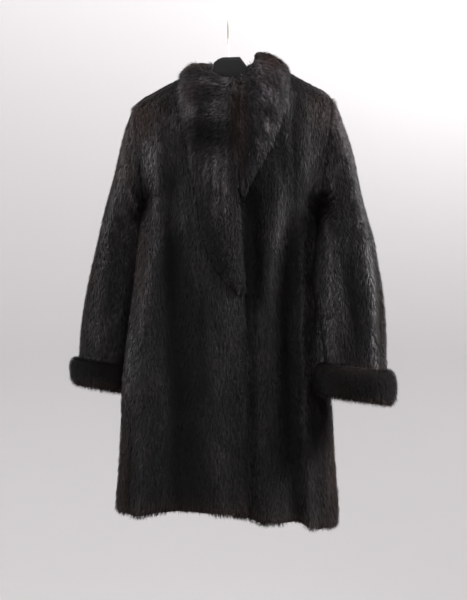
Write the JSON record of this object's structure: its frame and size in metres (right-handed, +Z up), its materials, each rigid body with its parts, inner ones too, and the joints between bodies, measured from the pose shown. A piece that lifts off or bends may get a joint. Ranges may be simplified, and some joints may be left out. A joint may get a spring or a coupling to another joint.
{
  "type": "fur coat on a hanger",
  "caption": "Three-quarter fur coat with a shawl collar, lapped open front and turned-back cuffs, hanging on a moulded clothes hanger with a wire hook.",
  "frame": {"origin": "inner top of the hook's bow, where a rail carries it", "axes": "+Z up, the coat's front faces -Y, the wearer's right is -X"},
  "size_m": [0.7267, 0.2825, 1.145],
  "materials": {
    "fur": "glossy near-black fur combed down",
    "collar_fur": "glossy near-black fur with mahogany tips",
    "cuff_fur": "dense velvety dark brown fur",
    "hanger_plastic": "moulded black plastic",
    "hook_wire": "bright drawn wire"
  },
  "bodies": {
    "root": {"back": "fur", "front_right": "fur", "front_left": "fur", "sleeve_right": "fur", "sleeve_left": "fur", "cuff_right": "cuff_fur", "cuff_left": "cuff_fur", "collar_right": "collar_fur", "collar_left": "collar_fur", "hanger": "hanger_plastic", "hanger_hook": "hook_wire"}
  },
  "joints": []
}
